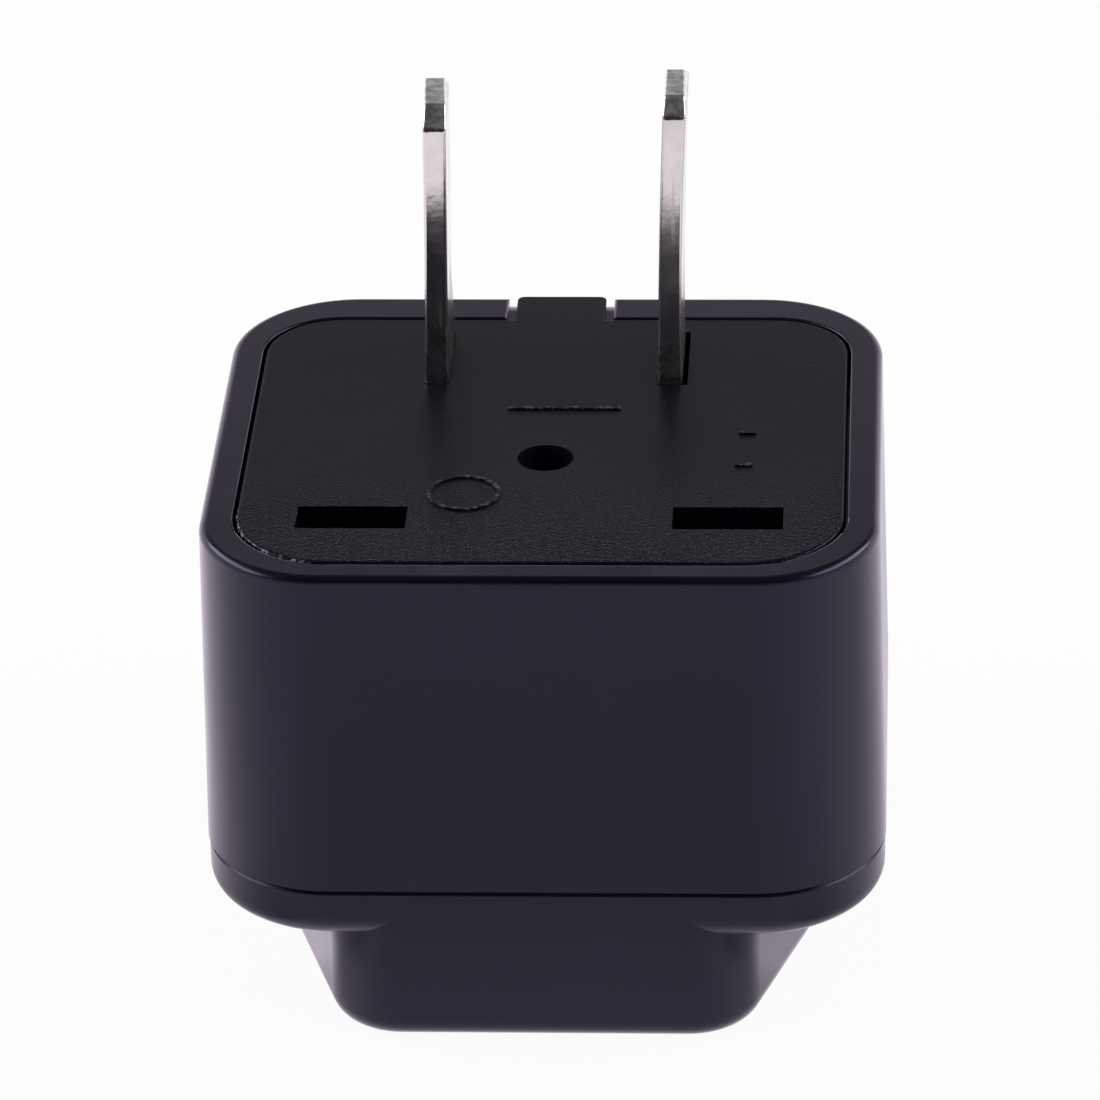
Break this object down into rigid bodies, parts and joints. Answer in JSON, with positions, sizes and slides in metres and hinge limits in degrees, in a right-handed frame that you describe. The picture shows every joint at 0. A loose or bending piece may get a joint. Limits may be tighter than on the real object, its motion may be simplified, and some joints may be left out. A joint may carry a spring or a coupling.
{
  "type": "travel plug adapter",
  "caption": "Travel plug adapter: rounded black plastic block with flat plated blades on its grained plug face, and a flared socket boss that takes a larger plug's pins.",
  "frame": {"origin": "middle of the socket face, on which the adapter stands", "axes": "+Z along the blades, -Y towards the narrow front of the socket boss, +X to the right seen from the front"},
  "size_m": [0.0364, 0.034, 0.0443],
  "materials": {
    "shell_plastic": "smooth satin black moulded plastic",
    "face_plastic": "black moulded plastic with a fine eroded grain",
    "blade_plating": "nickel plating over brass, lightly scuffed",
    "contact_brass": "plain rolled brass strip",
    "screw_steel": "zinc-plated steel"
  },
  "bodies": {
    "root": {"housing": "shell_plastic", "face_plate": "face_plastic", "socket_cap": "shell_plastic", "left_blade": "blade_plating", "right_blade": "blade_plating", "left_contact": "contact_brass", "right_contact": "contact_brass", "contact_rivets": "contact_brass", "assembly_screw": "screw_steel"}
  },
  "joints": []
}
